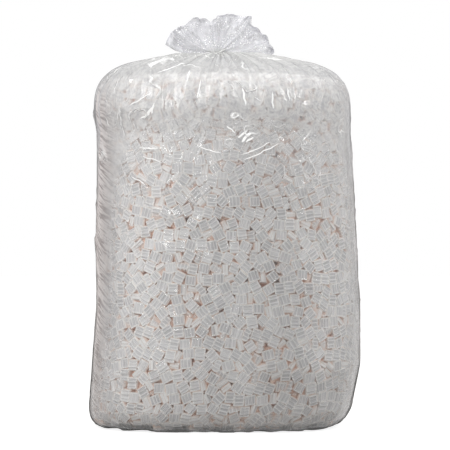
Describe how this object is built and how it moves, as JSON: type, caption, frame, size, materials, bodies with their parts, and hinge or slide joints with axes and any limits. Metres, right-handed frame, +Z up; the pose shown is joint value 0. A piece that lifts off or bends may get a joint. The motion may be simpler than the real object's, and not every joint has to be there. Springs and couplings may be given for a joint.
{
  "type": "packing peanut bag",
  "caption": "Clear plastic bag full of white S-shaped foam packing peanuts, gathered at the top, tied at the neck with the free film standing up as a ruffle, and standing on its flat foot.",
  "frame": {"origin": "middle of the bag's width and depth, under its flat foot, on the surface that it stands on", "axes": "+Z up, along the bag to its tied neck; the broad front faces -Y; +X to the right of someone facing the front"},
  "size_m": [0.7536, 0.6124, 1.1398],
  "materials": {
    "clear_film": "clear low-density polyethylene film, glossy, slightly milky where it is gathered",
    "white_foam": "white expanded polystyrene foam, matte, with a fine bead texture",
    "tie_plastic": "pale plastic-coated wire tie, satin"
  },
  "bodies": {
    "root": {"bag_film": "clear_film", "loose_peanut_01": "white_foam", "loose_peanut_02": "white_foam", "loose_peanut_03": "white_foam", "loose_peanut_04": "white_foam", "loose_peanut_05": "white_foam", "loose_peanut_06": "white_foam", "loose_peanut_07": "white_foam", "loose_peanut_08": "white_foam", "loose_peanut_09": "white_foam", "loose_peanut_10": "white_foam", "loose_peanut_11": "white_foam", "loose_peanut_12": "white_foam", "loose_peanut_13": "white_foam", "loose_peanut_14": "white_foam", "loose_peanut_15": "white_foam", "loose_peanut_16": "white_foam", "loose_peanut_17": "white_foam", "loose_peanut_18": "white_foam", "loose_peanut_19": "white_foam", "loose_peanut_20": "white_foam", "loose_peanut_21": "white_foam", "loose_peanut_22": "white_foam", "loose_peanut_23": "white_foam", "loose_peanut_24": "white_foam", "loose_peanut_25": "white_foam", "loose_peanut_26": "white_foam", "loose_peanut_27": "white_foam", "loose_peanut_28": "white_foam", "loose_peanut_29": "white_foam", "loose_peanut_30": "white_foam", "loose_peanut_31": "white_foam", "loose_peanut_32": "white_foam", "neck_tie": "tie_plastic", "packed_peanuts": "white_foam"}
  },
  "joints": []
}
